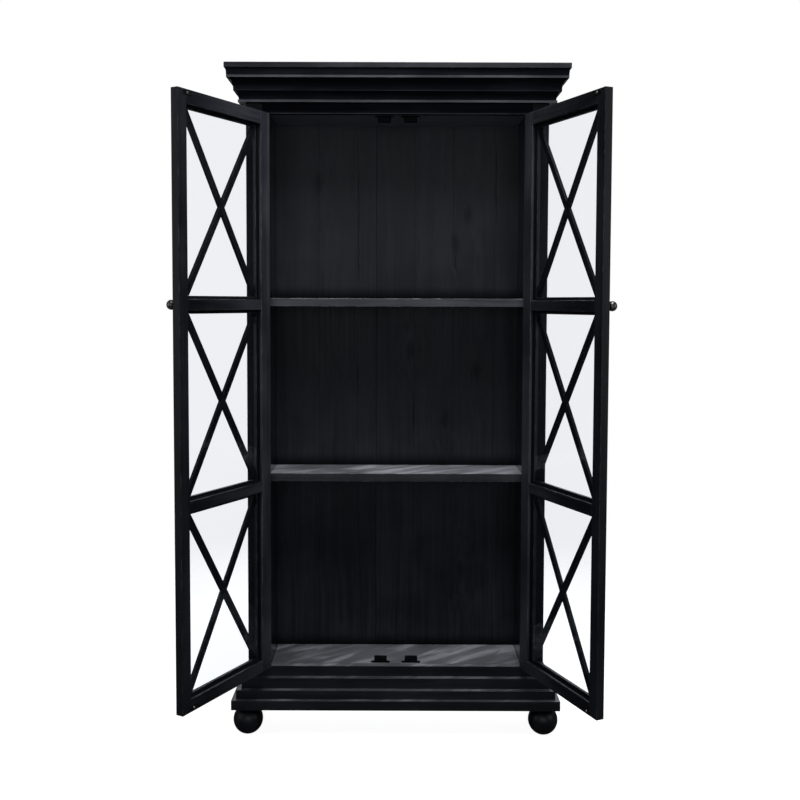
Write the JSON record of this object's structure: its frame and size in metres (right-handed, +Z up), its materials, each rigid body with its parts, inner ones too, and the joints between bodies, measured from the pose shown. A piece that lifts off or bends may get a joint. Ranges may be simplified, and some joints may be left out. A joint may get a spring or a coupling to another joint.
{
  "type": "glazed display cabinet",
  "caption": "Tall black wooden display cabinet with cross-barred glass doors, fixed shelves, a stepped crown and base, and turned ball feet.",
  "frame": {"origin": "on the floor, under the middle of the object's bounding box as it stands with both doors open", "axes": "+Z up, +Y towards the back, +X to the right as seen from the front"},
  "size_m": [1.179, 0.5765, 1.99],
  "materials": {
    "case_lacquer": "satin black lacquer brushed over wood, with its arrises rubbed lighter",
    "door_lacquer": "satin black lacquer brushed over wood",
    "interior_lacquer": "satin black lacquer with pale streaks along the grain",
    "back_lacquer": "thin matt black lacquer over upright boards",
    "glass": "clear float glass",
    "knob_pewter": "dark aged pewter",
    "hinge_steel": "blackened steel",
    "catch_plastic": "moulded black plastic"
  },
  "bodies": {
    "case": {"back_board_left": "back_lacquer", "back_board_right": "back_lacquer", "base_board": "case_lacquer", "base_moulding": "case_lacquer", "bottom_rail": "case_lacquer", "catch_lower_left": "catch_plastic", "catch_lower_right": "catch_plastic", "catch_upper_left": "catch_plastic", "catch_upper_right": "catch_plastic", "ceiling_panel": "interior_lacquer", "crown_moulding": "case_lacquer", "floor_panel": "interior_lacquer", "foot_front_left": "case_lacquer", "foot_front_right": "case_lacquer", "foot_rear_left": "case_lacquer", "foot_rear_right": "case_lacquer", "front_post_left": "case_lacquer", "front_post_right": "case_lacquer", "head_rail": "case_lacquer", "hinge_frame_left_lower": "hinge_steel", "hinge_frame_left_upper": "hinge_steel", "hinge_frame_right_lower": "hinge_steel", "hinge_frame_right_upper": "hinge_steel", "shelf_lower": "interior_lacquer", "shelf_upper": "interior_lacquer", "side_lining_left": "interior_lacquer", "side_lining_right": "interior_lacquer", "side_panel_left": "case_lacquer", "side_panel_right": "case_lacquer", "top_board": "case_lacquer"},
    "left_door": {"left_door_bottom_rail": "door_lacquer", "left_door_crossed_bars_lower": "door_lacquer", "left_door_crossed_bars_middle": "door_lacquer", "left_door_crossed_bars_upper": "door_lacquer", "left_door_glass_lower": "glass", "left_door_glass_middle": "glass", "left_door_glass_upper": "glass", "left_door_hinge_leaf_lower": "hinge_steel", "left_door_hinge_leaf_upper": "hinge_steel", "left_door_hinge_stile": "door_lacquer", "left_door_knob": "knob_pewter", "left_door_lower_rail": "door_lacquer", "left_door_meeting_stile": "door_lacquer", "left_door_top_rail": "door_lacquer", "left_door_upper_rail": "door_lacquer"},
    "right_door": {"right_door_bottom_rail": "door_lacquer", "right_door_crossed_bars_lower": "door_lacquer", "right_door_crossed_bars_middle": "door_lacquer", "right_door_crossed_bars_upper": "door_lacquer", "right_door_glass_lower": "glass", "right_door_glass_middle": "glass", "right_door_glass_upper": "glass", "right_door_hinge_leaf_lower": "hinge_steel", "right_door_hinge_leaf_upper": "hinge_steel", "right_door_hinge_stile": "door_lacquer", "right_door_knob": "knob_pewter", "right_door_lower_rail": "door_lacquer", "right_door_meeting_stile": "door_lacquer", "right_door_top_rail": "door_lacquer", "right_door_upper_rail": "door_lacquer"}
  },
  "joints": [
    {"name": "left_door_hinge", "type": "hinge", "parent": "case", "child": "left_door", "pos_m": [-0.38025, 0.084, 0], "axis": [0, 0, 1], "range_deg": [-61.2, 118.8]},
    {"name": "right_door_hinge", "type": "hinge", "parent": "case", "child": "right_door", "pos_m": [0.41225, 0.084, 0], "axis": [0, 0, -1], "range_deg": [-66.8, 113.2]}
  ]
}
